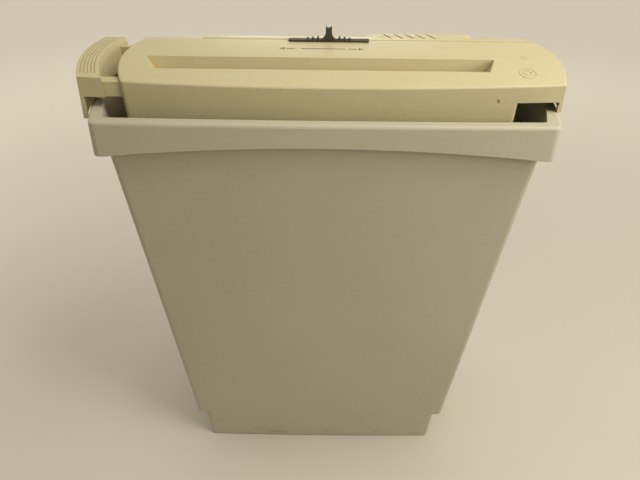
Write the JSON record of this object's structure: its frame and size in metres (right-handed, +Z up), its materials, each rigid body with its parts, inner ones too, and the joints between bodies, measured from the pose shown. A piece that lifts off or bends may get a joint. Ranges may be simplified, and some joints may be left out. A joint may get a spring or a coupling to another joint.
{
  "type": "paper shredder",
  "caption": "Strip-cut paper shredder: a crowned head with a feed slot, sliding switch and pull-out arm sits across a tapered waste bin; geared cutters turn inside.",
  "frame": {"origin": "middle of the bin's base, on the floor", "axes": "+Z up, +X along the feed slot to the user's right, -Y towards the user"},
  "size_m": [0.3335, 0.1546, 0.4221],
  "materials": {
    "bin_plastic": "fine grain, slightly dusty",
    "head_plastic": "satin, yellowed with age",
    "black_plastic": "matt",
    "switch_plastic": "matt dark grey",
    "zinc_steel": "zinc plated",
    "bright_steel": "ground",
    "motor_steel": "dark enamel",
    "bronze": "oiled",
    "white_nylon": "waxy",
    "board_laminate": "bare laminate",
    "component_plastic": "moulded",
    "black_rubber": "matt"
  },
  "bodies": {
    "bin": {"waste_bin": "bin_plastic"},
    "head": {"upper_housing": "head_plastic", "lower_housing": "black_plastic", "housing_screws": "zinc_steel", "slide_switch_body": "black_plastic", "left_side_plate": "zinc_steel", "right_side_plate": "zinc_steel", "shaft_bushings": "bronze", "tie_rods": "zinc_steel", "front_stripper_comb": "black_plastic", "rear_stripper_comb": "black_plastic", "second_stage_pin": "bright_steel", "first_stage_pin": "bright_steel", "motor_can": "motor_steel", "circuit_board": "board_laminate", "board_components": "component_plastic", "cord_gland": "black_rubber"},
    "arm": {"extension_arm": "head_plastic"},
    "switch": {"switch_slider": "switch_plastic"},
    "rear_cutter": {"rear_cutter_shaft": "bright_steel", "rear_cutter_discs": "bright_steel", "rear_spacers": "white_nylon", "rear_sync_gear": "white_nylon", "drive_gear": "white_nylon"},
    "front_cutter": {"front_cutter_shaft": "bright_steel", "front_cutter_discs": "bright_steel", "front_spacers": "white_nylon", "front_sync_gear": "white_nylon"},
    "second_stage": {"second_stage_gear": "white_nylon"},
    "first_stage": {"first_stage_gear": "white_nylon"},
    "motor_rotor": {"motor_shaft": "bright_steel", "motor_pinion": "bronze", "motor_fan": "black_plastic"}
  },
  "joints": [
    {"name": "head_lift", "type": "slide", "parent": "bin", "child": "head", "axis": [0, 0, 1], "range_m": [0, 0.15]},
    {"name": "arm_slide", "type": "slide", "parent": "head", "child": "arm", "axis": [-1, 0, 0], "range_m": [0, 0.05]},
    {"name": "switch_slide", "type": "slide", "parent": "head", "child": "switch", "axis": [1, 0, 0], "range_m": [-0.006, 0.006]},
    {"name": "rear_cutter_spin", "type": "hinge", "parent": "head", "child": "rear_cutter", "pos_m": [0, -0.015, 0.375], "axis": [1, 0, 0], "continuous": true},
    {"name": "front_cutter_spin", "type": "hinge", "parent": "head", "child": "front_cutter", "pos_m": [0, -0.037, 0.375], "axis": [1, 0, 0], "continuous": true},
    {"name": "second_stage_spin", "type": "hinge", "parent": "head", "child": "second_stage", "pos_m": [0, 0.00578, 0.363], "axis": [1, 0, 0], "continuous": true},
    {"name": "first_stage_spin", "type": "hinge", "parent": "head", "child": "first_stage", "pos_m": [0, 0.01064, 0.38111], "axis": [1, 0, 0], "continuous": true},
    {"name": "motor_spin", "type": "hinge", "parent": "head", "child": "motor_rotor", "pos_m": [0, 0.01824, 0.3648], "axis": [1, 0, 0], "continuous": true}
  ],
  "couplings": [
    {"joint": "front_cutter_spin", "follows": "rear_cutter_spin", "ratio": -1},
    {"joint": "second_stage_spin", "follows": "rear_cutter_spin", "ratio": -3},
    {"joint": "first_stage_spin", "follows": "rear_cutter_spin", "ratio": 12},
    {"joint": "motor_spin", "follows": "rear_cutter_spin", "ratio": -48}
  ]
}
